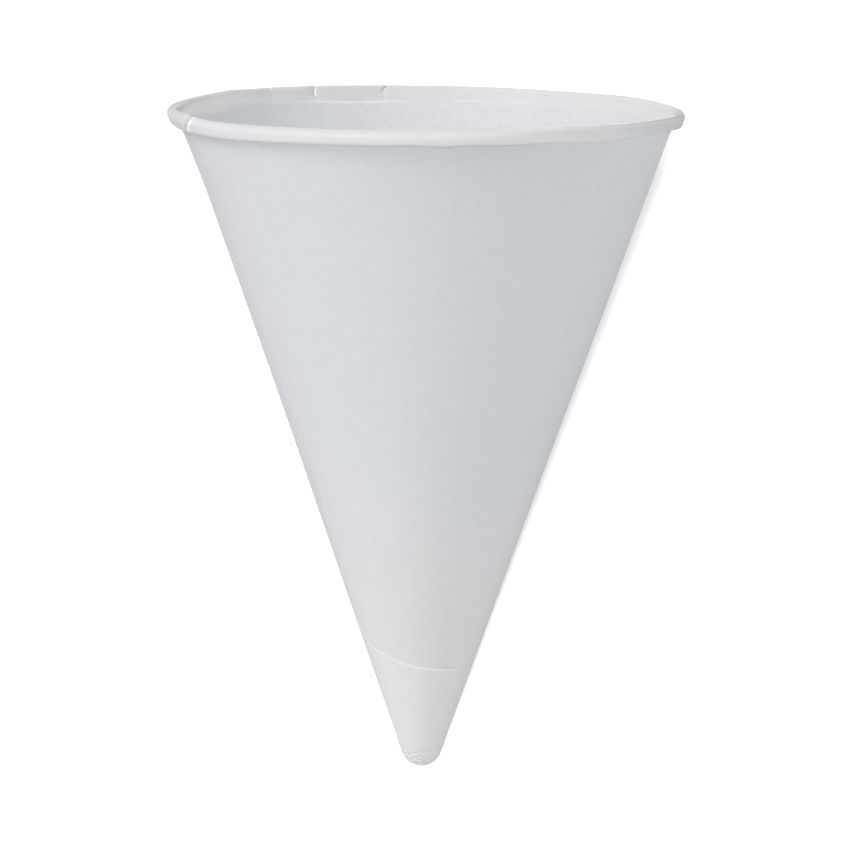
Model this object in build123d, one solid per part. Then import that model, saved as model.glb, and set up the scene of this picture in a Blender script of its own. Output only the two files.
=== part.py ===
from build123d import *
from itertools import pairwise
from math import acos, atan2, cos, degrees, hypot, radians, sin
import os

# Cone paper cup: one paper blank wound into a cone, with a rolled rim and a pressed tip.
# Millimetres and degrees. The cup is worked out with its axis up and its tip at the origin.
# At the end it lies down, on its tip and on the flat between the first two creases.
#
# An azimuth is an angle round the axis. Zero faces up once the cup lies down, and the
# angle grows to the right as the cup is seen from there with its tip pointing down.
# A depth is a distance from the face of the paper that shows inside the cup and on its
# rolled rim, into the paper. Turns of the winding lie on each other, one paper apart.

# Wall
rim_diameter = 75.0            # over the rolled rim
half_angle = 19.7              # between the wall and the axis
paper = 0.15                   # one thickness of the paper

# Rolled rim, measured across and along the wall
bead_width = 1.6
bead_length = 2.3
curl_gap = 0.1                 # from the wall to the paper's end, under the bead

# Creases across the back, as azimuths: wall and rim are flat from each to the next
rest_crease = 9.0              # from the middle of the back to the creases on its two sides
left_creases = (206.0, 218.0, 239.5)

# Tip, where the turns are pressed into a rounded end
tip_radius = 3.1
tip_wall = 0.5                 # the pressed paper at the very end
pressed_length = 4.0           # the pressed end's reach up the wall

# Winding: two turns from the blank's inner edge, and the climb onto it at each turn's end
inner_edge = -66.0
climb = 3.0

# Straight cut of the blank's outer edge, nearest to the cone's point at its foot
cut_distance = 21.2            # from the cone's point to the foot, along the wall
cut_azimuth = 35.0             # of the foot
outer_corner = 120.0           # azimuth where the outer turn ends, past the foot

# The straight cut is trimmed by a surface that passes right through the paper
knife_depth = 1.0              # past the paper, on each side
knife_step = 6.0               # between the points that the surface runs through

# Directions and fixed points of the section, as radius and height
tilt = radians(half_angle)
up_wall = Vector(sin(tilt), cos(tilt))
off_wall = Vector(cos(tilt), -sin(tilt))
bead_radius = bead_width / 2
inner_tip = tip_radius - tip_wall
bond = paper / 2               # each turn that is laid on reaches this deep into the one below

tip_centre = Vector(0, tip_radius)
wall_foot = tip_centre + off_wall * inner_tip
cone_point = tip_centre - Vector(0, inner_tip / sin(tilt))
foot_length = (wall_foot - cone_point).length
wall_length = (rim_diameter / 2 - bead_radius * (1 + cos(tilt)) - wall_foot.X) / sin(tilt)
wall_top = wall_foot + up_wall * wall_length
upper_roll = wall_top + off_wall * bead_radius
lower_roll = upper_roll - up_wall * (bead_length - bead_width)
turn_end = inner_edge + 360 - climb
curl_end = 360 - degrees(acos(1 - (2 * paper + curl_gap) / bead_radius))
creases = (180 - rest_crease, 180 + rest_crease, *left_creases)


def half_plane(azimuth):
    """The half plane from the axis at an azimuth: its x is the radius and its y the height."""
    a = radians(azimuth)
    return Plane(origin=(0, 0, 0), x_dir=(sin(a), -cos(a), 0), z_dir=(-cos(a), -sin(a), 0))


def on_roll(centre, radius, turn):
    """A point of the rolled rim, where turn is 0 at the wall, 90 at the top and 180 outside."""
    a = radians(turn)
    return centre - off_wall * (radius * cos(a)) + up_wall * (radius * sin(a))


def rim_line(depth):
    """Wall and rolled rim at a depth, from the foot of the wall to the end of the curl."""
    radius = bead_radius - depth
    return [
        Line(wall_foot + off_wall * depth, wall_top + off_wall * depth),
        ThreePointArc(*(on_roll(upper_roll, radius, a) for a in (0, 90, 180))),
        Line(on_roll(upper_roll, radius, 180), on_roll(lower_roll, radius, 180)),
        ThreePointArc(*(on_roll(lower_roll, radius, a) for a in (180, (180 + curl_end) / 2, curl_end))),
    ]


def rimmed(first_depth, last_depth):
    """Section of the wall with its rolled rim, between two depths."""
    inside, outside = rim_line(first_depth), rim_line(last_depth)
    ends = [Line(inside[0] @ 0, outside[0] @ 0), Line(inside[-1] @ 1, outside[-1] @ 1)]
    return make_face(inside + outside + ends)


def strip(length, first_depth, last_depth):
    """Section of the bare wall, between two depths, from inside the pressed tip up to a length."""
    inside, outside = off_wall * first_depth, off_wall * last_depth
    foot, top = wall_foot + up_wall * bond, wall_foot + up_wall * length
    return make_face(Polyline(foot + inside, top + inside, top + outside, foot + outside, close=True))


def sector(section, first, last):
    """A section swept round the axis from one azimuth to another."""
    return revolve(half_plane(first) * section, Axis.Z, last - first)


def straight(first_section, first, last_section, last):
    """Paper that runs straight from a section at one azimuth to a section at another."""
    return loft([half_plane(first) * first_section, half_plane(last) * last_section])


def climbing(lower, upper):
    """The paper's climb onto the inner edge, from a section on one turn to one on the next."""
    return straight(lower, inner_edge - climb, upper, inner_edge)


def wound_wall():
    """Two turns of the blank with their rolled rim, and the first turn's climb onto the inner edge."""
    turns = rimmed(0, 2 * paper)
    wall = sector(turns, inner_edge, creases[0])
    for first, last in pairwise(creases):
        wall += straight(turns, first, turns, last)
    wall += sector(turns, creases[-1], turn_end)
    return wall + climbing(rimmed(0, paper), rimmed(paper, 2 * paper))


def cut_length(azimuth):
    """How far up the wall the cut lies from the cone's point: it is straight on the flat blank."""
    return cut_distance / cos(radians(azimuth - 360 - cut_azimuth) * sin(tilt))


def knife():
    """Ruled surface along the straight cut, square through the paper."""
    first, last = turn_end - knife_step, 360 + outer_corner + knife_step
    spans = round((last - first) / knife_step)
    azimuths = [first + (last - first) * i / spans for i in range(spans + 1)]

    def edge(depth):
        points = [(a, cone_point + up_wall * cut_length(a) + off_wall * depth) for a in azimuths]
        return Spline([half_plane(a).from_local_coords(point) for a, point in points])

    return Face.make_surface_from_curves(edge(-knife_depth), edge(3 * paper + knife_depth))


def tail():
    """The blank's outer corner, wound on over the tip and trimmed along the straight cut."""
    highest = max(cut_length(turn_end), cut_length(360 + outer_corner))
    length = highest - foot_length + knife_depth
    second = strip(length, bond, 2 * paper)
    third = strip(length, paper + bond, 3 * paper)
    whole = climbing(second, third) + sector(third, inner_edge, outer_corner)
    return whole.solid().split(knife(), keep=Keep.ALL).sort_by(Axis.Z)[0]


def tip_arc(radius):
    """The rounded end at a radius, from the axis to where the wall leaves it."""
    middle = radians(90 - half_angle) / 2
    return ThreePointArc(
        tip_centre - Vector(0, radius),
        tip_centre + Vector(radius * sin(middle), -radius * cos(middle)),
        tip_centre + off_wall * radius,
    )


def pressed_tip():
    """The pressed end: thick at the tip, and thinning out into the wall on both sides."""
    inside, outside = tip_arc(inner_tip - bond), tip_arc(tip_radius)
    top = wall_foot + up_wall * pressed_length
    upper = Polyline(inside @ 1, top + off_wall * bond, top + off_wall * (paper + bond), outside @ 1)
    return sector(make_face([inside, outside, upper, Line(inside @ 0, outside @ 0)]), 0, 360)


def lay_down(cup):
    """Lie the cup on its tip and its back, with the middle of its base at the origin."""
    # One straight line touches the round tip and the rim's lower roll, in the middle of the
    # flat, where the creases leave the rim nearer to the axis. That line becomes level.
    away = Vector(lower_roll.X * cos(radians(rest_crease)), lower_roll.Y) - tip_centre
    touching = acos((tip_radius - bead_radius) / hypot(away.X, away.Y))
    lean = degrees(touching - atan2(away.Y, away.X))
    lying = Rot(X=lean - 90) * cup
    box = lying.bounding_box()
    return Pos(-box.center().X, -box.center().Y, -box.min.Z) * lying


cup = lay_down(wound_wall() + pressed_tip() + tail())
os.makedirs("parts", exist_ok=True)
export_step(cup, "parts/cone_cup.step")
print("cone_cup", cup.bounding_box().size, "volume", round(cup.volume, 1), "solids", len(cup.solids()))
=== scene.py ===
# %% [markdown]
# # A cone paper cup, dressed for its photograph
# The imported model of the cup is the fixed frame: every piece made here stands where it
# stands. The cup lies on its tip and on the flat of its back, and the camera looks down
# on it. All sizes are in millimetres until a mesh is made, because paper is thin and
# its sizes are easier to read that way.

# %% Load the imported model
import bpy
import numpy as np
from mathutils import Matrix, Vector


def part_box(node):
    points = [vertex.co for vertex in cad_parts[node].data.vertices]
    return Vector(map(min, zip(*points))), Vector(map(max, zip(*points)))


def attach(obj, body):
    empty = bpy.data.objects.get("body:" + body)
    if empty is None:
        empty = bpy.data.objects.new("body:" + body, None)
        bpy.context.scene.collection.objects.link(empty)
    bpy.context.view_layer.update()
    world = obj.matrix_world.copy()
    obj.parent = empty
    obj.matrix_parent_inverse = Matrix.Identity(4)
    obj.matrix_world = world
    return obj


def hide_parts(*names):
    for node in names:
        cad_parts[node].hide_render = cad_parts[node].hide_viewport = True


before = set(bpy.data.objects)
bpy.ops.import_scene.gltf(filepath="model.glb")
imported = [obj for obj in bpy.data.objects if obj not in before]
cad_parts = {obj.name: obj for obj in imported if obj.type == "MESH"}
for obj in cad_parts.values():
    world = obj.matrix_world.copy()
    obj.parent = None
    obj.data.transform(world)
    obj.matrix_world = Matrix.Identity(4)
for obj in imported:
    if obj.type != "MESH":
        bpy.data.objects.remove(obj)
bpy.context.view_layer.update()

cup_low, cup_high = (np.array(corner) * 1000 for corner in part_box("cone_cup"))
print("the cup's box in mm", cup_low.round(2), cup_high.round(2))

# %% [markdown]
# ## The cup's sizes
# A real cup starts as one flat blank of paper. It is wound into a cone, the upper edge
# is rolled outwards into a bead, and the point is pressed round. The sizes are those of
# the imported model. An azimuth is an angle round the axis: zero faces the camera, and it
# grows to the right. A depth is a distance into the paper, from its inner face.

# %% Sizes
rim_diameter = 75.0
half_angle = np.radians(19.7)
paper = 0.15
bead_width, bead_length = 1.6, 2.3
curl_gap = 0.1
rest_crease = 9.0
creases = np.array([180 - rest_crease, 180 + rest_crease, 206.6, 219.0, 239.5])
tip_radius, tip_wall, pressed_length = 3.1, 0.5, 4.0
inner_edge, climb = -66.0, 3.0
cut_distance, cut_azimuth, outer_corner = 21.2, 35.0, 120.0

up_wall = np.array([np.sin(half_angle), np.cos(half_angle)])
off_wall = np.array([np.cos(half_angle), -np.sin(half_angle)])
bead_radius = bead_width / 2
inner_tip = tip_radius - tip_wall
tip_centre = np.array([0, tip_radius])
wall_foot = tip_centre + off_wall * inner_tip
cone_point = tip_centre - np.array([0, inner_tip / np.sin(half_angle)])
foot_length = np.linalg.norm(wall_foot - cone_point)
wall_radius = rim_diameter / 2 - bead_radius * (1 + np.cos(half_angle))
top_length = wall_radius / np.sin(half_angle)
wall_top = cone_point + up_wall * top_length
upper_roll = wall_top + off_wall * bead_radius
lower_roll = upper_roll - up_wall * (bead_length - bead_width)
curl_end = 2 * np.pi - np.arccos(1 - (2 * paper + curl_gap) / bead_radius)
print("height in mm", round(upper_roll[1] + bead_radius, 2),
      "wall length", round(top_length - foot_length, 2))

# %% [markdown]
# ## Lying down
# The cup is worked out upright, tip down, and then laid on its side. One line touches
# the round tip and the rim's lower roll: it becomes level. The tip's ball touches the
# surface and is also the cup's lowest place along Y, which fixes where the cup lies.


# %% From upright to lying
def lean_angle():
    """The angle between the axis and the surface, from the line that touches both round ends."""
    away = np.array([lower_roll[0] * np.cos(np.radians(rest_crease)), lower_roll[1]]) - tip_centre
    return np.arccos((tip_radius - bead_radius) / np.hypot(*away)) - np.arctan2(away[1], away[0])


lean = lean_angle()
turn_down = np.array([[1, 0, 0], [0, np.sin(lean), np.cos(lean)], [0, -np.cos(lean), np.sin(lean)]])
tip_place = np.array([0, cup_low[1] + tip_radius, tip_radius])


def lay(points):
    """Upright millimetres to lying metres: turn about the tip's centre, then move it to its place."""
    upright_tip = np.array([0, 0, tip_centre[1]])
    return ((points - upright_tip) @ turn_down.T + tip_place) / 1000


print("lean in degrees", round(np.degrees(lean), 2))

# %% [markdown]
# ## The columns of the mesh
# The cup is one closed surface over a grid. A column is an azimuth, and a row is a place
# on the section. Most columns are evenly spaced. Where the paper ends or is creased,
# the azimuth gets a few close neighbours, so that the edge stays sharp.


# %% Azimuths
def close_columns(azimuth):
    """Azimuths on both sides of an edge, nearer and nearer to it."""
    steps = np.array([0.02, 0.09, 0.17, 0.26, 0.36, 0.48, 0.64])
    return azimuth + np.concatenate([-steps[::-1], steps])


first_column = inner_edge - climb
column_step = 1.25             # degrees between the plain columns
kept_clear = 0.9               # degrees beside an edge that only its close columns stand in
edges = np.array([first_column, inner_edge, outer_corner, *creases])
even = np.arange(first_column + 1, first_column + 359.5, column_step)
near = np.concatenate([close_columns(a) for a in edges])
far_from_edges = np.abs(even[:, None] - edges).min(1) > kept_clear
azimuths = np.unique(np.concatenate([even[far_from_edges], (near - first_column) % 360 + first_column]))
theta = np.radians(azimuths)
print("columns", len(azimuths))


# %% [markdown]
# ## Where the paper lies
# Two turns of paper make the wall. Where the second turn starts it climbs onto the
# blank's inner edge, which leaves a small step on the rolled rim and inside. Near the
# tip a third turn lies on top. Its edge was cut straight on the flat blank, so on the
# cone it sags: its length from the cone's point is the shortest one over a cosine.


# %% Turns and depths
def soft_step(x):
    """Zero below 0, one above 1, and three x squared less two x cubed between."""
    x = np.clip(x, 0, 1)
    return x * x * (3 - 2 * x)


def bump(x, centre, width):
    """A bell curve: e to the minus square of the distance over the width."""
    return np.exp(-(((x - centre) / width) ** 2))


def turned(azimuth, place):
    """Angle from a place round the cup, the short way, between minus and plus a half turn."""
    return (azimuth - place + 180) % 360 - 180


climbed = np.clip((azimuths - first_column) / climb, 0, 1)
in_climb = azimuths < inner_edge
inner_depth = np.where(in_climb, paper * climbed, 0)

groove = 0.04                  # what is left to see of the outer turn's end, pressed flat
outer_depth = 2 * paper - np.where(in_climb, groove * (1 - climbed), 0)

in_tail = azimuths < outer_corner
flat_share = 0.85              # how far the third turn is pressed flat, on the right
pressed_flat = 1 - flat_share * soft_step((azimuths - 25) / 45)
third_turn = np.where(in_tail, paper * climbed * pressed_flat, 0)


def straight_cut(azimuth, distance, foot):
    """Distance up the wall of a straight cut: the shortest one over the cosine of the flat angle."""
    return distance / np.cos(np.radians(azimuth - foot) * np.sin(half_angle))


corner_length = straight_cut(outer_corner, cut_distance, cut_azimuth)
start_length = straight_cut(first_column, cut_distance, cut_azimuth)
way_back = soft_step((azimuths - outer_corner) / (first_column + 360 - outer_corner))
cut_length = np.where(
    in_tail,
    straight_cut(np.minimum(azimuths, outer_corner), cut_distance, cut_azimuth),
    corner_length + (start_length - corner_length) * way_back,
)
bent_down, dipped = 0.9, 0.35  # the cut edge on the right, and where the winding starts
cut_length -= bent_down * soft_step((azimuths - 30) / 50) * soft_step((170 - azimuths) / 50)
cut_length -= dipped * bump(turned(azimuths, -62), 0, 13)
print("the cut lies between", cut_length.min().round(1), "and", cut_length.max().round(1),
      "mm from the cone's point")

# %% [markdown]
# ## Creases and a rim that isn't true
# Nobody's paper cup is perfectly round. The rolled rim is flat at the back between a few
# creases, where a stack of cups was squeezed; below the rim the wall has sprung about
# half way back to round. Twice on its way round the rim rises and falls, by a third of a
# millimetre either way. The wall's left side is drawn in a little below the rim, and its
# right side bulges by less.
#
# A flat between two creases is a chord: its radius is the cosine of half its angle over
# the cosine of the angle from its middle.


# %% Flats and waves
def chord(azimuth):
    """Radius on the flats between creases, as a share of the full radius."""
    share = np.ones_like(azimuth)
    for first, last in zip(creases[:-1], creases[1:]):
        middle, half = (first + last) / 2, (last - first) / 2
        flat = np.cos(np.radians(half)) / np.cos(np.radians(azimuth - middle))
        share = np.where((azimuth >= first) & (azimuth <= last), flat, share)
    return share


kept_on_wall = 0.55            # share of the flats that the wall keeps, with soft ends
spread = np.linspace(-9, 9, 37)
weight = bump(spread, 0, 4.5)
rim_flats = 1 - chord(azimuths)
wall_flats = kept_on_wall * sum(w * (1 - chord(azimuths + a)) for a, w in zip(spread, weight)) / weight.sum()

rises = [                      # azimuth, rise, width in degrees
    (55.0, -0.08, 28.0), (124.0, 0.28, 17.0), (165.0, -0.08, 10.0), (191.0, -0.12, 16.0), (232.0, 0.22, 7.0),
]
rim_level, rim_wave, wave_top = -0.20, 0.34, 26
rim_rise = rim_level + rim_wave * np.cos(2 * np.radians(azimuths - wave_top))
rim_rise += sum(rise * bump(azimuths, place, width) for place, rise, width in rises)
left_side = bump(turned(azimuths, -88), 0, 48)
right_side = bump(turned(azimuths, 88), 0, 40)
left_draw, right_bulge = 0.45, 0.13


def drawn_in(length):
    """How far the sides are drawn in at a length up the wall: the left one, less the right one's bulge."""
    left = left_draw * left_side * soft_step((length - 10) / 62) * soft_step((top_length + 1 - length) / 14)
    return left - right_bulge * right_side * soft_step((length - 56) / 16)


print("deepest flat", round(rim_flats.max() * wall_radius, 2), "mm on the rim,",
      round(wall_flats.max() * wall_radius, 2), "mm on the wall")

# %% [markdown]
# ## The rows of the mesh
# The section runs from the axis up the inner face, over the rolled rim to the end of the
# curl, and back along the other face of the paper to the tip. Each row is a place on the
# section plus a depth into the paper. Every row is an array over all columns, because
# the straight cut moves the rows near it.


# %% Row helpers
def on_tip(angle, depth):
    """A row on the round end: the tip's centre plus a radius times a direction, which is an
    angle from straight down."""
    direction = np.array([np.sin(angle), -np.cos(angle)])
    return tip_centre + (inner_tip + depth)[:, None] * direction


def on_wall(length, depth):
    """A row on the wall: the cone's point, plus a length up the wall, plus a depth square to it."""
    return cone_point + length[:, None] * up_wall + depth[:, None] * off_wall


def on_roll(centre, turn, depth):
    """A row on the rolled rim: the roll's centre plus its radius less the depth, at a turn from the wall."""
    direction = -off_wall * np.cos(turn) + up_wall * np.sin(turn)
    return centre + (bead_radius - depth)[:, None] * direction


# %% [markdown]
# ## Small forms of the rim
# Under a raking light the rim tells how the cup was made. Inside, the rolling tool left
# a smooth band with a soft ridge below it. One crease runs along the bead's left end, and
# creases across the band are thin dents that run over the crest. Along the front the
# bead swells and sags a little, and where it sags its lower edge hangs lower. At its
# left end it is fuller, and on the right it was pressed towards the wall. These are all
# depths or drops added to the rows. The ridge also gets a painted highlight, the crease
# painted shade and the dents painted light and shade. Below is a distance down from the wall's top.


# %% Ridge and band
ridge_below = 1.55 + 0.42 * bump(azimuths, 196, 18) + 0.75 * bump(azimuths, 238, 13)
ridge_height, ridge_width = 0.035, 0.28
band_flare = 0.11
# Painted highlight along the ridge, strongest towards the back.
painted_ridge_highlight = 0.06 + 0.12 * soft_step((azimuths - 140) / 25) + 0.26 * soft_step((azimuths - 176) / 18)
painted_ridge_highlight = painted_ridge_highlight * soft_step((226 - azimuths) / 26)

left_end = bump(turned(azimuths, -92), 0, 25)
from_left = turned(azimuths, -90)
crease_path = [                # degrees from the left, turn on the roll in radians
    (-14, -0.25), (-6, -0.2), (0, -0.05), (5, 0.42), (10, 0.76), (15, 0.95), (20, 1.05), (26, 1.1),
]
crease_share = soft_step((from_left + 20) / 13) * soft_step((26 - from_left) / 4)
crease_turn = np.interp(from_left, *np.transpose(crease_path))
crease_line = crease_turn - 0.12 + 0.27 * soft_step((from_left + 4) / 8)
# The middle number is the strength of the painted shade in the crease.
crease_depth, painted_crease_shade, crease_width = 0.06, 0.55, 0.17


def band_relief(below):
    """How far the inner face is pressed back: a flared band, less a ridge, plus a crease at the left."""
    ridge = ridge_height * bump(below, ridge_below, ridge_width)
    band = band_flare * soft_step((ridge_below - below) / 1.3) * soft_step(1 + below / 0.6)
    crease = crease_depth * crease_share * bump(-below / bead_radius, crease_line, crease_width)
    return band * (1 - 0.6 * left_end) - ridge + crease


def band_painted_light_and_shade(below):
    """Painted light and shade on the band: a painted highlight along the ridge, and painted shade in the
    crease at the left.
    """
    crease = painted_crease_shade * crease_share * bump(-below / bead_radius, crease_line, crease_width)
    return painted_ridge_highlight * bump(below, ridge_below, 0.22) - crease


print("ridge", ridge_below.min().round(2), "to", ridge_below.max().round(2), "mm below the top of the wall")

# %% Dents
# In this table the light line is a painted highlight on the fold, and the dark line is painted shade beside
# it.
dents = [                      # azimuth, depth, width in degrees, reach down the wall, light line, dark line
    (189.0, 0.16, 0.24, 0.30, 0.55, 0.95),
    (206.6, 0.22, 0.22, 0.85, 1.00, 0.70),
    (219.0, 0.14, 0.22, -0.35, 1.00, 0.40),
    (239.5, 0.08, 0.24, -0.05, 0.40, 0.30),
]


def within_reach(reach, below):
    """One above a dent's lower end and zero below it, with a soft step of 0.3 mm between."""
    return soft_step((reach - below) / 0.3 + 0.5)


def dent_relief(below):
    """Thin dents across the band: bell curves in azimuth that fade at their lower end."""
    total = np.zeros_like(azimuths)
    for place, depth, width, reach, _, _ in dents:
        total += depth * bump(azimuths, place, width) * within_reach(reach, below)
    return total


def dent_painted_light_and_shade(below):
    """Painted light and shade of the dents: a painted highlight where the fold is, painted shade close
    beside it on the left.
    """
    total = np.zeros_like(azimuths)
    for place, _, _, reach, light, dark in dents:
        fold = light * bump(azimuths, place - 0.08, 0.22) - dark * bump(azimuths, place + 0.42, 0.18)
        total += fold * within_reach(reach, below)
    return total


print("dents across the band", len(dents), "the deepest", dent_relief(-bead_radius).max().round(2), "mm")

# %% Bead waves
sags = [                       # azimuth, drop, width in degrees
    (0.0, 0.16, 75.0), (3.6, 0.20, 3.6), (-11.0, 0.06, 5.0), (-50.0, 0.12, 12.0), (18.0, 0.14, 8.0),
    (50.0, 0.10, 14.0), (92.0, 0.08, 12.0), (150.0, 0.05, 9.0), (198.0, -0.04, 8.0), (262.0, 0.08, 11.0),
]
bead_drop = sum(drop * bump(turned(azimuths, place), 0, width) for place, drop, width in sags)
bead_swell = 0.03 * np.sin(5 * theta + 0.6) + 0.02 * np.sin(11 * theta + 2.0)
left_fullness, right_press = 0.42, 0.45


def left_bulge(turn):
    """The bead's left end: fuller above its middle, and drawn in below."""
    upper = left_fullness * crease_share * bump(turn, crease_turn + 0.35, 0.45)
    return upper + left_end * (0.16 * bump(turn, 2.0, 0.7) - 0.12 * bump(turn, 3.6, 0.6))


pressed_side = soft_step((azimuths - 12) / 28) * soft_step((86 - azimuths) / 14)


def settled(points, turn):
    """A row of the roll after use: its drop grows with the third power of the turn, and its
    right side is pressed towards the wall by a share of what stands off the wall."""
    share = min(turn / np.pi, 1)
    standing = np.clip((points - wall_top) @ off_wall - 2 * paper - curl_gap, 0, None)
    inward = right_press * share**2 * pressed_side * standing
    return points - (bead_drop * share**3)[:, None] * up_wall - inward[:, None] * off_wall


print("the bead's lower edge moves by", bead_drop.min().round(2), "to", bead_drop.max().round(2), "mm")

# %% [markdown]
# ## The pressed tip
# The machine pushes the wound paper into a round die. The extra paper has nowhere to go
# and folds over in fine flat wrinkles across the end. Each wrinkle is a small step that
# follows a slanting line over part of the way round.

# %% Wrinkles
wrinkles = [                   # angle from straight down, azimuth, half length, slant, height
    (77.0, 26.0, 34.0, 0.16, 0.050),
    (82.0, -44.0, 20.0, 0.05, 0.035),
    (69.0, -30.0, 20.0, 0.04, 0.080),
    (60.0, -14.0, 34.0, -0.02, 0.070),
    (51.0, -34.0, 44.0, 0.03, 0.100),
    (45.0, 16.0, 36.0, 0.08, 0.050),
    (36.0, -26.0, 40.0, 0.02, 0.090),
    (24.0, -10.0, 60.0, 0.00, 0.025),
    (57.0, 128.0, 44.0, 0.08, 0.060),
    (70.0, 226.0, 36.0, -0.06, 0.040),
    (46.0, 262.0, 40.0, 0.05, 0.070),
]
wrinkle_span = 8               # degrees on the round end that a wrinkle's shape is measured in
slimmer, slimmed_at_rest = 0.14, 0.96
rest_angle = np.pi / 2 - lean  # from straight down to where the round end rests, at the back


def from_rest(angle):
    """Degrees from the resting place: the arc whose cosine is the dot product of the two directions."""
    across = np.sin(np.radians(angle)) * np.sin(rest_angle) * np.cos(theta)
    along = np.cos(np.radians(angle)) * np.cos(rest_angle)
    return np.degrees(np.arccos(np.clip(along - across, -1, 1)))


def over_wrinkle(angle, place, middle, half, slant):
    """How far below a wrinkle's slanting, waving line an angle lies, in wrinkle spans, and its share."""
    round_way = turned(azimuths, middle)
    below = (place + slant * round_way + 2 * np.sin(round_way / 6) - angle) / wrinkle_span
    return below, soft_step((half - np.abs(round_way)) / 12)


def wrinkle_relief(angle):
    """Steps on the round end: a steep side and a long soft side, along slanting lines."""
    total = np.zeros_like(azimuths)
    for place, middle, half, slant, height in wrinkles:
        below, share = over_wrinkle(angle, place, middle, half, slant)
        total += height * soft_step(below * 4 + 0.5) * np.exp(-np.clip(below, 0, None) * 1.8) * share
    return total * (1 - bump(from_rest(angle), 0, 30))


def wrinkle_painted_light_and_shade(angle):
    """Painted light and shade of the wrinkles: a painted highlight along each fold, and painted shade close
    above it.
    """
    total = np.zeros_like(azimuths)
    for place, middle, half, slant, height in wrinkles:
        below, share = over_wrinkle(angle, place, middle, half, slant)
        total += height / 0.10 * (0.95 * bump(below, 0.05, 0.20) - 0.6 * bump(below, -0.42, 0.22)) * share
    return total


def slimmed(angle):
    """The round end is pressed slimmer than its ball, save where it rests."""
    return slimmer * soft_step((95 - angle) / 25) * (1 - slimmed_at_rest * bump(from_rest(angle), 0, 45))


def pressed_depth(length):
    """The pressed paper's thickness, thinning out up the wall."""
    along = np.clip((length - foot_length) / pressed_length, 0, 1)
    return tip_wall + (1.5 * paper - tip_wall) * along


print("wrinkles", len(wrinkles), "slimmed by up to", slimmed(0).max().round(2), "mm at the very end")

# %% [markdown]
# ## Making the rows
# The rows are now listed from the axis to the rim and back. Where two forms meet, rows
# stand close together, and where the paper is plain they are far apart. Each row also
# carries three numbers: whether it is the inner face, a line of painted light above zero
# and painted shade below, and whether the paper is rolled there.

# %% Inner face
rows, faces, lines, rolled = [], [], [], []
plain = np.zeros_like(azimuths)


def add_row(points, inner, line=plain, roll=0.0):
    """Keep a row of places, with its face and whether it is rolled, and with its line of painted light and
    shade.
    """
    rows.append(points)
    faces.append(plain + inner)
    lines.append(line)
    rolled.append(plain + roll)


tip_end = np.pi / 2 - half_angle

for angle in np.linspace(0, tip_end, 9)[1:-1]:
    add_row(on_tip(angle, plain), 1)
for share in np.concatenate([np.linspace(0, 0.9, 19), np.linspace(0.92, 0.965, 4)]):
    length = plain + foot_length + (top_length - foot_length) * share
    add_row(on_wall(length, inner_depth * soft_step(share * 8)), 1)
band_rows = [np.linspace(3.3, 2.7, 3), np.linspace(2.5, 0.95, 14), np.linspace(0.8, 0.1, 5)]
for below in np.concatenate(band_rows):
    depth = inner_depth + band_relief(below) + dent_relief(below)
    add_row(on_wall(plain + top_length - below, depth), 1, dent_painted_light_and_shade(below) + band_painted_light_and_shade(below))
print("rows of the inner face", len(rows))

# %% [markdown]
# ## Over the rim
# The rolled rim shows the paper's inner face. Where the turn climbs onto the blank's
# inner edge, the roll steps back by nearly two papers. The edge of the paper on top gets
# a short painted highlight, with a faint painted arc of light at the climb's start and
# painted shade on the climb. Along the right of the front, the sharpest bend gets a fine
# painted highlight with painted shade just below it, and the roll's underside is painted
# lighter where it is pressed to the wall. A turn is an angle on the roll in radians:
# zero at the wall, half pi at the top and pi on the outside.

# %% Painted light and shade lines on the rolled rim
step_papers = 1.9
step_back = inner_depth * step_papers
after_step = azimuths > inner_edge
painted_step_highlight = bump(azimuths, inner_edge + 0.5, 0.7) * after_step
painted_step_arc = 0.10 * bump(turned(azimuths, first_column - 0.2), 0, 0.5)
step_shade = np.where(in_climb, -0.30 * soft_step(climbed * 4) - 0.15 * climbed**2, 0)
# Painted highlight on the lip's sharpest bend and near the step, and painted shade just below the bend.
painted_lip_highlight = (0.10 + 0.90 * soft_step((azimuths - 14) / 26)) * soft_step((80 - azimuths) / 6) * after_step
painted_lip_highlight += 0.6 * bump(azimuths, -62, 2.5) * after_step
bend_shade = 0.30 * soft_step((azimuths - 26) / 20) * soft_step((80 - azimuths) / 6)

print("the step on the rim is", step_back.max().round(2), "mm")

# %% The rolled rim, out and back
turns = np.linspace(0, np.pi, 25)
curls = np.linspace(np.pi, curl_end, 12)


def crest_relief(turn):
    """The band's flare and the dents as they run out over the crest."""
    above = -bead_radius * turn
    return band_relief(above) + dent_relief(above) * soft_step((2.0 - turn) / 0.6)


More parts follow.
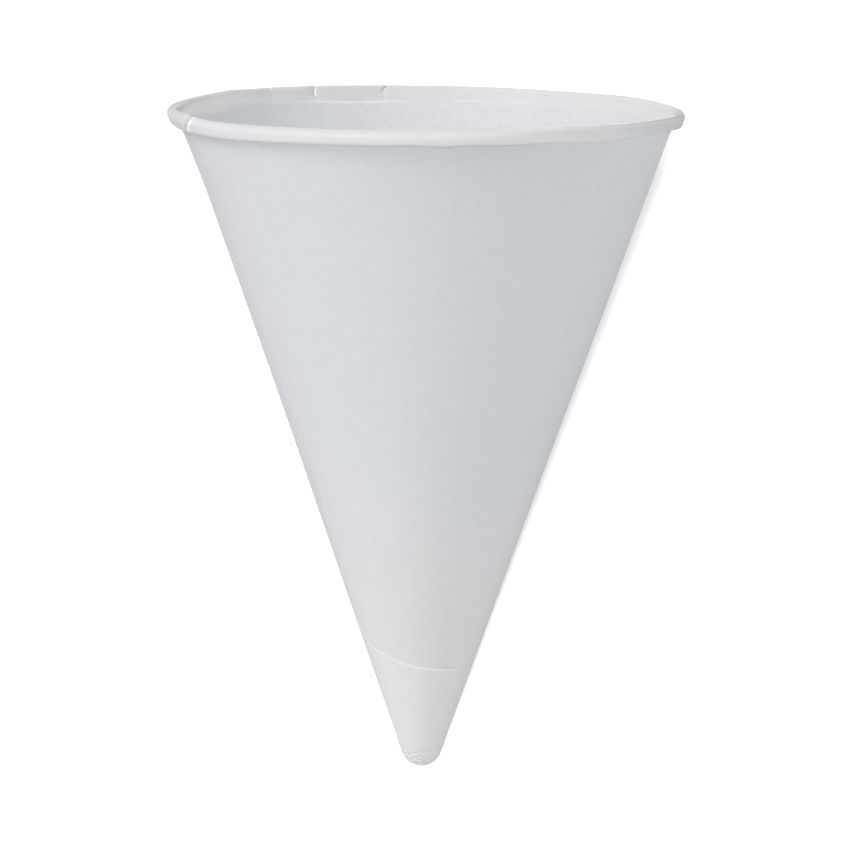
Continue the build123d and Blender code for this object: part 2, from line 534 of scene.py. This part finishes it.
for turn in turns:
    depth = step_back + crest_relief(turn) - bead_swell * np.sin(turn) - left_bulge(turn)
    # Painted highlight on the step's edge and painted shade on the climb, then the lip's painted highlight
    # and shade.
    painted_step_edge = painted_step_highlight * (0.2 + 0.8 * soft_step((turn - 1.7) / 0.8))
    line = (painted_step_edge + step_shade) * soft_step((turn - 0.7) / 0.4)
    line = line + painted_step_arc * soft_step((turn - 2.3) / 0.5)
    line = line + painted_lip_highlight * soft_step((turn - 0.5) / 0.3) * soft_step((1.75 - turn) / 0.25)
    line = line - bend_shade * bump(turn, 1.95, 0.14)
    line = line + dent_painted_light_and_shade(-turn) * soft_step((1.9 - turn) / 0.4) + band_painted_light_and_shade(-bead_radius * turn)
    add_row(settled(on_roll(upper_roll, turn, depth), turn), 1, line, 1)
for turn in curls:
    line = (painted_step_highlight + step_shade + painted_step_arc) * soft_step((4.0 - turn) / 0.4)
    # Painted light on the roll's underside where it is pressed to the wall, against the shade of the gap.
    line = line + (0.46 - 0.16 * right_side) * pressed_side * soft_step((turn - 3.3) / 0.6)
    add_row(settled(on_roll(lower_roll, turn, step_back - left_bulge(turn)), turn), 1, line, 1)
inner_back = 2 * paper + step_back - inner_depth
for turn in curls[::-2]:
    add_row(settled(on_roll(lower_roll, turn, inner_back - left_bulge(turn)), turn), 0, plain, 1)
for turn in turns[::-2]:
    depth = inner_back + crest_relief(turn) - left_bulge(turn)
    add_row(settled(on_roll(upper_roll, turn, depth), turn), 0, plain, 1)
print("rows to the inside of the roll", len(rows))

# %% Outer face down to the cut
# Painted light: the wall is painted lighter in a thin line under the bead, against the shade there, most
# where the bead is pressed to it.
painted_gap_light = 0.34 + (0.46 - 0.10 * right_side) * pressed_side
under_bead = (0.15, 0.4, 0.7, 1.0, 1.3, 1.5, 1.65, 1.8, 1.95, 2.1, 2.3, 2.6, 3.2)
for below in under_bead:
    depth = outer_depth + band_relief(below) + dent_relief(below)
    add_row(on_wall(plain + top_length - below, depth), 0, painted_gap_light * bump(below, 1.8, 0.25))
above_cut = top_length - under_bead[-1] - cut_length
for share in np.concatenate([np.linspace(0.985, 0.03, 26), [0.012, 0.004]]):
    add_row(on_wall(cut_length + above_cut * share, outer_depth), 0)
print("rows down to the cut", len(rows))

# %% [markdown]
# ## The straight cut edge
# The third turn ends in a cut edge, thinned to just over half a paper. Seen close it is a
# faint light line: partly the paper's clean core showing in the cut, partly a painted
# highlight where the edge meets the light, with a painted shadow just above it on the
# right. In one place the edge stands a little away from the wall, and to the right it is
# pressed flat and fades.

# %% Cut edge
edge_lift = 0.05 * bump(azimuths, 30, 12) + 0.02 * bump(azimuths, -30, 30)
# The cut edge's light line: partly the paper's whiter core, partly a painted highlight.
edge_core_and_highlight = 0.02 + 0.08 * soft_step((azimuths + 45) / 40)
edge_strength = climbed * in_tail * edge_core_and_highlight * soft_step((62 - azimuths) / 40)
thinned_edge = 0.55
# The line's brightness is partly the cut's whiter core and partly a painted highlight.
edge_profile = [               # below the cut, share of the step, brightness of the line
    (0.0, 0.0, 0.3), (0.07, 0.14, 0.7), (0.15, 0.40, 1.0), (0.24, 0.68, 1.0),
    (0.33, 0.88, 0.8), (0.43, 0.98, 0.4), (0.56, 1.0, 0.0),
]


def third_layer(below):
    """The third turn's height below its cut edge: just over half of it at the thinned edge and all of
    it 4 mm below, with the lifted place sinking back over 1.6 mm."""
    thinned = third_turn * (thinned_edge + (1 - thinned_edge) * soft_step(below / 4))
    return (thinned + edge_lift * np.exp(-below / 1.6)) * in_tail * climbed


# Painted shadow: a dark line just above the cut edge, where it stands off the wall.
painted_shadow_above_cut = -0.5 * bump(azimuths, 30, 9)
add_row(on_wall(cut_length + 0.12, outer_depth), 0, painted_shadow_above_cut)
for below, share, brightness in edge_profile:
    depth = outer_depth + third_layer(below) * share
    add_row(on_wall(cut_length - below, depth), 0, brightness * edge_strength)
print("the cut edge is up to", (third_turn.max() * thinned_edge).round(3), "mm thick, before its lift")

# %% [markdown]
# ## The pressed end
# Below the cut the layers run on to the tip. Where the pressed paper is thicker than the
# layers, the larger of the two wins, with a soft change between them: the mean of the
# two, plus the root of half their difference squared and a little more.

# %% Down to the tip
join_softness = 0.0004         # square millimetres under the root
below_cut = cut_length - edge_profile[-1][0] - foot_length
steps_down = np.concatenate([np.linspace(0.97, 0.34, 16), np.linspace(0.32, 0.0, 22)])
for share in steps_down:
    length = foot_length + below_cut * share
    angle = np.degrees(tip_end + (length - foot_length) / tip_radius)
    layered = outer_depth + third_layer(cut_length - length)
    pressed = pressed_depth(length)
    depth = (layered + pressed) / 2 + np.sqrt(((layered - pressed) / 2) ** 2 + join_softness)
    add_row(on_wall(length, depth + wrinkle_relief(angle) - slimmed(angle)), 0, wrinkle_painted_light_and_shade(angle))
foot_depth = depth
for angle in np.linspace(tip_end, 0, 52)[1:-1]:
    depth = tip_wall + (foot_depth - tip_wall) * soft_step(angle / tip_end)
    degrees_up = np.degrees(angle)
    depth = depth + wrinkle_relief(degrees_up) - slimmed(degrees_up)
    add_row(on_tip(angle, depth), 0, wrinkle_painted_light_and_shade(degrees_up))
print("rows in all", len(rows))

# %% [markdown]
# ## Bending the whole
# The straight section is bent last. The rim's rise grows along the wall. The flats take
# their share of the radius, fully on the rim and partly on the wall. The left side is
# drawn in and the right side bulges. On the rim the blank's inner edge and two creases
# run aslant, which is a small change of azimuth that depends on the height.

# %% Bent section
section = np.array(rows)
on_rim = np.array(rolled)
length_up = (section - cone_point) @ up_wall
along = np.clip((length_up - foot_length) / (top_length - foot_length), 0, 1)
section += (rim_rise * along)[:, :, None] * up_wall
over_top = length_up - top_length
near_rim = np.maximum(on_rim, soft_step((over_top + 2.1) / 0.9))
flattened = wall_flats * soft_step((length_up - 8) / 20) * (1 - near_rim) + rim_flats * near_rim
radius = section[:, :, 0] * (1 - flattened) - drawn_in(length_up)

step_path = [(-1.5, -1.9), (-0.7, -1.3), (0, 0), (0.4, 0.7), (0.8, 1.7)]   # height over the top, degrees
step_slant = np.interp(over_top, *np.transpose(step_path))
step_slant = step_slant * bump(turned(azimuths, inner_edge), 0, 6) * on_rim
crease_slant = 1.0 - 1.4 * soft_step((over_top + 0.2) / 1.0)
crease_slant = crease_slant * (bump(azimuths, 189, 4) + 0.45 * bump(azimuths, 206.6, 4))
crease_slant = crease_slant * soft_step((over_top + 4) / 3)
slanted = theta + np.radians(step_slant + crease_slant)
upright = np.stack([radius * np.sin(slanted), -radius * np.cos(slanted), section[:, :, 1]], -1)
print("rows and columns", upright.shape[:2], "radius up to", radius.max().round(2), "mm")

# %% [markdown]
# ## Into a mesh
# A row and a column give a radius and a height; the azimuth turns them round the axis.
# The first and last rows close on a single point each. Four neighbours on the grid make
# a face, and the columns close on themselves. A face points to the side from which its
# corners run against the clock, so they are listed that way as seen from outside.


# %% Mesh helper
def closed_grid(name, grid, first_point, last_point):
    """A closed surface: grid faces between rows, round the columns, and a fan of faces at each end."""
    count_rows, count_columns = grid.shape[:2]
    points = np.concatenate([grid.reshape(-1, 3), [first_point], [last_point]])
    row, column = np.mgrid[0:count_rows - 1, 0:count_columns]
    beside = (column + 1) % count_columns
    quads = np.stack([
        row * count_columns + column, (row + 1) * count_columns + column,
        (row + 1) * count_columns + beside, row * count_columns + beside,
    ], -1).reshape(-1, 4)
    here = np.arange(count_columns)
    there = (here + 1) % count_columns
    first, last = len(points) - 2, len(points) - 1
    end_row = (count_rows - 1) * count_columns
    fans = np.concatenate([
        np.stack([here, there, np.full_like(here, first)], 1),
        np.stack([end_row + there, end_row + here, np.full_like(here, last)], 1),
    ])
    mesh = bpy.data.meshes.new(name)
    mesh.vertices.add(len(points))
    mesh.vertices.foreach_set("co", points.astype(np.float32).ravel())
    corners = np.concatenate([quads.ravel(), fans.ravel()])
    mesh.loops.add(len(corners))
    mesh.loops.foreach_set("vertex_index", corners.astype(np.int32))
    sizes = np.concatenate([np.full(len(quads), 4), np.full(len(fans), 3)])
    mesh.polygons.add(len(sizes))
    mesh.polygons.foreach_set("loop_start", np.concatenate([[0], np.cumsum(sizes)[:-1]]).astype(np.int32))
    mesh.update(calc_edges=True)
    mesh.validate()
    mesh.polygons.foreach_set("use_smooth", np.ones(len(mesh.polygons), bool))
    piece = bpy.data.objects.new(name, mesh)
    bpy.context.scene.collection.objects.link(piece)
    return piece


# %% The cup's surface
inner_pole = np.array([0, 0, tip_centre[1] - inner_tip])
outer_pole = np.array([0, 0, tip_centre[1] - tip_radius + slimmed(0).mean()])
cup = closed_grid("paper_cup", lay(upright), lay(inner_pole), lay(outer_pole))

corners = np.array([lay(upright).reshape(-1, 3).min(0), lay(upright).reshape(-1, 3).max(0)]) * 1000
triangles = sum(len(face.vertices) - 2 for face in cup.data.polygons)
print("cup from", corners[0].round(3), "to", corners[1].round(3), "mm, triangles", triangles)

# %% [markdown]
# ## What the paint should know
# Paper looks lighter where more turns lie on each other, because less light passes
# through. Seven numbers are kept on every point of the mesh: how many more turns there
# are, how near the foot it is, whether it is the inner face, whether it is rolled or
# pressed smooth, a line of painted light and shade, a slow change of tone that is mostly
# painted light and shade, and how coarse its tooth is. At the left the edge of a hidden
# turn shows through faintly, along a short list of places.

# %% Turns that show
inner_face = np.array(faces)
outside = 1 - inner_face

hidden_path = [                # azimuth, length from the cone's point
    (-66, 44), (-60.5, 40.1), (-51.3, 34.8), (-40.5, 30.6),
    (-30, 27.1), (-19.9, 24.3), (-11.5, 22.5), (0, 20.5),
]
hidden_edge = np.interp(azimuths, *np.transpose(hidden_path))
show_through = soft_step((hidden_edge - length_up) / 2.2 + 0.5) * soft_step((5 - azimuths) / 20)
layers = third_turn / paper * (length_up < cut_length)
turns_here = outside * np.clip(layers + 0.25 * show_through * (1 - layers), 0, 1)
near_foot = outside * soft_step((62 - length_up) / 40)
print("more turns over", np.mean(turns_here > 0.5).round(3), "of the points")

# %% [markdown]
# ## Slow changes of tone and painted shade
# The wall is a little darker beside the step, and has painted shade under the bead. The
# rolled band is burnished in fine rings. Inside, the band and the wall have painted light
# and shade, and the bead has painted shade where it turns away from the light and painted
# light across the middle of its front. Each is a small share of the paper's colour, added up over the mesh.

# %% Tones of the wall, with painted shade under the bead and inside
beyond_step = turned(azimuths, first_column)
side_tone = -0.022 * soft_step(-beyond_step / 0.9) * soft_step((beyond_step + 100) / 60)
side_tone = side_tone * outside * soft_step((length_up - 33) / 12)
# Painted shade under the bead, strongest at the front and fading down the wall.
fade_down = np.exp(-np.clip(top_length - 2.0 - length_up, 0, None) / 5.0)
painted_rim_shade = -0.075 * outside * bump(azimuths, 15, 36) * fade_down

below_top = top_length - length_up
smooth_band = np.maximum(on_rim, inner_face * soft_step((ridge_below + 0.1 - below_top) / 0.3))
in_band = smooth_band * inner_face * (1 - on_rim)
burnish = 0.011 * in_band * (np.sin(21 * below_top) + np.sin(33 * below_top + 1.3))
# Painted light on the band and painted shade on the wall below it, on the inside's left.
painted_left_inside_shading = inner_face * (1 - on_rim) * soft_step((azimuths - 212) / 26) * (0.10 * smooth_band - 0.055)
# Painted shade inside, most at the back a little left, and right of the back.
painted_inner_shade = -0.035 * smooth_band * bump(azimuths, 200, 24) - 0.02 * in_band - 0.025
painted_inner_shade = inner_face * (painted_inner_shade - 0.04 * bump(azimuths, 200, 32) - 0.03 * bump(azimuths, 135, 22))
painted_inner_shade = painted_inner_shade * soft_step((azimuths - 90) / 20) * soft_step((262 - azimuths) / 20)
print("inside tones from", painted_inner_shade.min().round(3), "to", painted_inner_shade.max().round(3))

# %% Painted light and shade of the bead
# Painted shade where the bead turns away from the light, and some painted light; the table gives the
# changes.
painted_bead_shades = [                 # change of tone, azimuth, width in degrees
    (-0.02, -49, 12), (0.025, 32, 14), (-0.065, 62, 11), (-0.15, 83, 12),
]
painted_bead_shading = -0.10 * soft_step(-beyond_step / 0.9) * soft_step((beyond_step + 75) / 50)
for change, place, width in painted_bead_shades:
    painted_bead_shading = painted_bead_shading + change * bump(azimuths, place, width)
painted_bead_shading = painted_bead_shading - 0.035 * bump(beyond_step, -3, 4)
up_bead = over_top / bead_radius
# Painted shade on the bead's crest and lower on its right, and painted light across the middle of its front.
crest_shade = 0.080 + 0.045 * bump(azimuths, 4, 20)
painted_bead_shading = painted_bead_shading - crest_shade * bump(up_bead, 0.7, 0.42) * bump(azimuths, -12, 42)
painted_bead_shading = painted_bead_shading - 0.035 * bump(up_bead, 0.2, 0.6) * bump(azimuths, 55, 25)
painted_bead_shading = painted_bead_shading + 0.050 * bump(up_bead, -0.1, 0.45) * bump(azimuths, 2, 20)
lower_half = soft_step((top_length + 0.60 - length_up) / 0.9)
painted_lower_right_shade = 0.055 * lower_half * soft_step((azimuths - 20) / 20) * soft_step((100 - azimuths) / 14)
painted_bead_shading = painted_bead_shading - painted_lower_right_shade
print("bead tones from", painted_bead_shading[on_rim > 0].min().round(3), "to", painted_bead_shading[on_rim > 0].max().round(3))


# %% Numbers on the mesh
def keep_number(piece, name, values, ends):
    """Store one number a point, with the two end points last."""
    layer = piece.data.attributes.new(name, "FLOAT", "POINT")
    layer.data.foreach_set("value", np.concatenate([values.ravel(), ends]).astype(np.float32))


# The slow change is mostly painted light and shade, with the side tone and the burnished rings.
slow_tone_and_painted_shade = side_tone + painted_rim_shade + burnish + painted_left_inside_shading + painted_inner_shade + painted_bead_shading * on_rim
coarse = 0.1 + (1 - smooth_band) * (0.3 + 0.6 * inner_face)
keep_number(cup, "turns", turns_here, [0, 1])
keep_number(cup, "foot", near_foot, [0, 1])
keep_number(cup, "inner", inner_face, [1, 0])
keep_number(cup, "smooth", smooth_band, [0, 0])
keep_number(cup, "line", np.array(lines), [0, 0])
keep_number(cup, "tone", slow_tone_and_painted_shade, [0, 0])
keep_number(cup, "tooth", coarse, [1, 0.4])
print("numbers kept on", len(cup.data.vertices), "points")

# %% [markdown]
# ## Paper
# The cup is plain bleached paper with a dull, even face, a little cool in colour. Where
# it is rolled it is smoother and nearly neutral, and inside, below the rolled band, its
# tooth is coarser. Slow clouds in the sheet and the fibres come from noise in the
# object's own coordinates, so they stay on the paper from every side.


# %% Node helpers
def add_node(tree, kind, label, **settings):
    """A shader node with a label and its settings."""
    node = tree.nodes.new(kind)
    node.label = label
    for key, value in settings.items():
        setattr(node, key, value)
    return node


def feed(tree, source, node, socket):
    """Join an output to an input by the input's name or number."""
    tree.links.new(source, node.inputs[socket])


def attribute(tree, name):
    """The number kept on the mesh under this name."""
    return add_node(tree, "ShaderNodeAttribute", name, attribute_name=name).outputs["Fac"]


def mixed(tree, share, first, second, label):
    """A colour between two colours; either is a colour or another node's output."""
    node = add_node(tree, "ShaderNodeMix", label, data_type="RGBA")
    for socket, value in ((0, share), (6, first), (7, second)):
        if isinstance(value, bpy.types.NodeSocket):
            feed(tree, value, node, socket)
        else:
            node.inputs[socket].default_value = value
    return node.outputs[2]


def noise(tree, place, scale, detail, roughness, label):
    """Noise between zero and one, about a half, at a scale of so many clouds a metre."""
    node = add_node(tree, "ShaderNodeTexNoise", label)
    node.inputs["Scale"].default_value = scale
    node.inputs["Detail"].default_value = detail
    node.inputs["Roughness"].default_value = roughness
    feed(tree, place, node, "Vector")
    return node.outputs["Fac"]


def maths(tree, operation, first, second, label):
    """One operation, such as a sum, on two numbers or outputs."""
    node = add_node(tree, "ShaderNodeMath", label, operation=operation)
    for socket, value in ((0, first), (1, second)):
        if isinstance(value, bpy.types.NodeSocket):
            feed(tree, value, node, socket)
        else:
            node.inputs[socket].default_value = value
    return node.outputs[0]


# %% Paper material
outer_white = (0.654, 0.678, 0.704, 1)
foot_white = (0.680, 0.688, 0.700, 1)
inner_white = (0.706, 0.726, 0.748, 1)
rolled_white = (0.728, 0.738, 0.750, 1)
layered_white = (0.708, 0.712, 0.708, 1)
# The white of the painted highlights, which on the cut edge is partly the paper's core.
painted_highlight_white = (0.94, 0.94, 0.93, 1)
shade_grey = (0.40, 0.42, 0.44, 1)

cup_paper = bpy.data.materials.new("cup_paper")
cup_paper.use_nodes = True
tree = cup_paper.node_tree
shader = tree.nodes["Principled BSDF"]
shader.inputs["Roughness"].default_value = 0.62
shader.inputs["Specular IOR Level"].default_value = 0.3
place = add_node(tree, "ShaderNodeTexCoord", "place").outputs["Object"]

face = mixed(tree, attribute(tree, "foot"), outer_white, foot_white, "towards the tip")
face = mixed(tree, attribute(tree, "inner"), face, inner_white, "outer or inner face")
face = mixed(tree, attribute(tree, "turns"), face, layered_white, "more turns")
face = mixed(tree, attribute(tree, "smooth"), face, rolled_white, "rolled paper")

cloud_strength, fibre_strength, tooth_height = 0.07, 0.42, 0.00006
clouds = noise(tree, place, 700, 3, 0.55, "clouds in the sheet")
grain = noise(tree, place, 5200, 2, 0.6, "fibres")
tooth = attribute(tree, "tooth")
about_zero = maths(tree, "SUBTRACT", clouds, 0.5, "clouds about zero")
cloudy = maths(tree, "MULTIPLY", about_zero, cloud_strength, "cloudy")
coarser = maths(tree, "MULTIPLY", tooth, fibre_strength, "coarser where the tooth is")
grainy = maths(tree, "MULTIPLY", maths(tree, "SUBTRACT", grain, 0.5, "fibres about zero"), coarser, "grainy")
# The slow tone holds painted light and shade besides the paper's own tone.
slow_tone = maths(tree, "ADD", attribute(tree, "tone"), 1.0, "slow tone")
tone = maths(tree, "ADD", maths(tree, "ADD", cloudy, grainy, "uneven"), slow_tone, "tone")
toned = add_node(tree, "ShaderNodeVectorMath", "toned", operation="SCALE")
feed(tree, face, toned, 0)
feed(tree, tone, toned, "Scale")

# Painted light and shade: dark lines mix towards the grey as painted shade, light ones towards the white as
# painted highlights, on the cut edge partly the paper's core.
line = attribute(tree, "line")
painted_shade_line = maths(tree, "MULTIPLY", line, -1.0, "dark line")
painted_shade_line.node.use_clamp = True
face = mixed(tree, painted_shade_line, toned.outputs[0], shade_grey, "dark lines")
feed(tree, mixed(tree, line, face, painted_highlight_white, "cut and bent edges"), shader, "Base Color")

relief = add_node(tree, "ShaderNodeBump", "paper tooth")
relief.inputs["Distance"].default_value = tooth_height
feed(tree, tooth, relief, "Strength")
feed(tree, maths(tree, "ADD", grain, clouds, "height"), relief, "Height")
feed(tree, relief.outputs["Normal"], shader, "Normal")
cup.data.materials.append(cup_paper)
print("paper made of", len(tree.nodes), "nodes")

# %% [markdown]
# ## Floor and surroundings
# The photograph has a pure white ground with only a narrow shadow. The floor is an
# ordinary pale surface for all light that falls on the cup. For the camera alone it
# glows a little as well, so that its lit part is white and the shadow stays.


# %% Floor
def flat_sheet(name, half_size):
    """A square floor at height zero, from four corners."""
    corners = np.array([[-1, -1, 0], [1, -1, 0], [1, 1, 0], [-1, 1, 0]]) * half_size
    mesh = bpy.data.meshes.new(name)
    mesh.from_pydata(corners.tolist(), [], [(0, 1, 2, 3)])
    piece = bpy.data.objects.new(name, mesh)
    bpy.context.scene.collection.objects.link(piece)
    return piece


floor_half_size, floor_glow = 3.0, 0.225
floor = flat_sheet("floor", floor_half_size)
floor_paint = bpy.data.materials.new("pale_floor")
floor_paint.use_nodes = True
tree = floor_paint.node_tree
tree.nodes.clear()
rays = add_node(tree, "ShaderNodeLightPath", "rays")
seen = rays.outputs["Is Camera Ray"]
pale = add_node(tree, "ShaderNodeBsdfDiffuse", "pale floor")
feed(tree, mixed(tree, seen, (0.8, 0.8, 0.81, 1), (1, 1, 1, 1), "whiter for the camera"), pale, "Color")
glow = add_node(tree, "ShaderNodeEmission", "glow for the camera")
feed(tree, maths(tree, "MULTIPLY", seen, floor_glow, "glow"), glow, "Strength")
both = add_node(tree, "ShaderNodeAddShader", "floor and glow")
feed(tree, pale.outputs[0], both, 0)
feed(tree, glow.outputs[0], both, 1)
feed(tree, both.outputs[0], add_node(tree, "ShaderNodeOutputMaterial", "out"), "Surface")
floor.data.materials.append(floor_paint)
print("floor", 2 * floor_half_size, "m wide")

# %% World
room_level = 0.06
world = bpy.data.worlds.new("pale_room")
bpy.context.scene.world = world
world.use_nodes = True
tree = world.node_tree
tree.nodes.clear()
rays = add_node(tree, "ShaderNodeLightPath", "rays")
white_ground = maths(tree, "MULTIPLY", rays.outputs["Is Camera Ray"], 1 - room_level, "white ground")
level = maths(tree, "ADD", white_ground, room_level, "level")
room = add_node(tree, "ShaderNodeBackground", "room")
feed(tree, level, room, "Strength")
feed(tree, room.outputs[0], add_node(tree, "ShaderNodeOutputWorld", "out"), "Surface")
print("room light at", room_level, "of full strength")

# %% [markdown]
# ## Lamps
# The light comes from the upper left of the picture and from beside the camera. A sun
# near the camera lays the narrow shadow along the cup's right side. Two large soft lamps
# on the left make the left of the cup, the inside right and the rolled rim lighter.
# Three weaker ones from the right and from below the front keep the shaded sides pale,
# and a weak one from behind draws the thin light line along the lip.


# %% Directions in the cup's own terms
def toward(azimuth, elevation):
    """The lying direction of an azimuth and an elevation that are those of the upright cup."""
    a, e = np.radians([azimuth, elevation])
    upright_direction = np.array([np.sin(a) * np.cos(e), -np.cos(a) * np.cos(e), np.sin(e)])
    return turn_down @ upright_direction


def aim(piece, direction, up=(0, 0, 1)):
    """Turn a lamp or camera so that it looks against a direction, with its top towards up."""
    back = np.array(direction) / np.linalg.norm(direction)
    right = np.cross(up, back)
    right /= np.linalg.norm(right)
    columns = np.stack([right, np.cross(back, right), back], 1)
    stance = np.eye(4)
    stance[:3, :3] = columns
    stance[:3, 3] = piece.location
    piece.matrix_world = stance.T.tolist()


middle = lay(np.array([0, 0, upright[:, :, 2].max() / 2]))


def sun(name, direction, strength, spread, colour=(1, 1, 1)):
    """A far lamp: its strength in watts a square metre, its spread in degrees and its colour."""
    data = bpy.data.lights.new(name, "SUN")
    data.energy, data.angle, data.color = strength, np.radians(spread), colour
    lamp = bpy.data.objects.new(name, data)
    lamp.location = middle + direction
    bpy.context.scene.collection.objects.link(lamp)
    aim(lamp, direction)


narrow, wide = 3.2, 25
sun("beside_camera", toward(-2.1, 8.8), 1.1, narrow)
sun("upper_left", toward(-55, 40), 1.60, wide, (1.0, 0.962, 0.955))
sun("left_fill", toward(-50, 10), 0.42, wide)
sun("right_fill", toward(60, 15), 0.37, wide)
sun("low_right_fill", toward(85, 25), 0.63, wide)
sun("low_front_fill", toward(0, -25), 0.93, wide)
sun("behind_left", toward(-50, 75), 0.22, wide, (1.0, 0.985, 0.955))

# %% [markdown]
# ## Camera
# The photograph was taken with a long lens, seven degrees above the cup's middle as it
# would stand upright. The cup lies here, so the camera looks steeply down. Its place
# and lens follow from the rim's ellipse and the two sides of the cone.

# %% Camera
picture_width, sensor_width = 850, 36
camera_distance, camera_elevation = 1500.0, 6.87
pixels_per_mm = 6.898          # in the picture, at the cup's middle
focal_pixels = pixels_per_mm * camera_distance
# The camera aims at a point this far right of the axis and above the tip, with a small roll.
aim_right, aim_height, roll = 0.232, 49.993, np.radians(0.398)

half_height = np.array([0, 0, (upper_roll[1] + bead_radius) / 2])
upright_way = np.linalg.inv(turn_down) @ toward(0, camera_elevation)
camera_place = half_height + camera_distance * upright_way
looking = np.array([aim_right, 0, aim_height]) - camera_place
forward = looking / np.linalg.norm(looking)
right = np.cross(forward, [0, 0, 1])
right /= np.linalg.norm(right)
top = np.cross(right, forward)
rolled_top = -np.sin(roll) * right + np.cos(roll) * top

camera_data = bpy.data.cameras.new("camera")
camera_data.sensor_width = sensor_width
camera_data.lens = sensor_width * focal_pixels / picture_width
camera_data.clip_end = 20
camera = bpy.data.objects.new("camera", camera_data)
camera.location = lay(camera_place)
bpy.context.scene.collection.objects.link(camera)
aim(camera, turn_down @ -forward, turn_down @ rolled_top)
bpy.context.scene.camera = camera
bpy.context.scene.view_settings.view_transform = "Standard"
print("camera at", camera_place.round(1), "upright mm, lens", round(camera_data.lens))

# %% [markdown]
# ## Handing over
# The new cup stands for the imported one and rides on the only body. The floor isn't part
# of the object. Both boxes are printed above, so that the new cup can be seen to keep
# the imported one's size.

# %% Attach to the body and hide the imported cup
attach(cup, "root")
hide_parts("cone_cup")
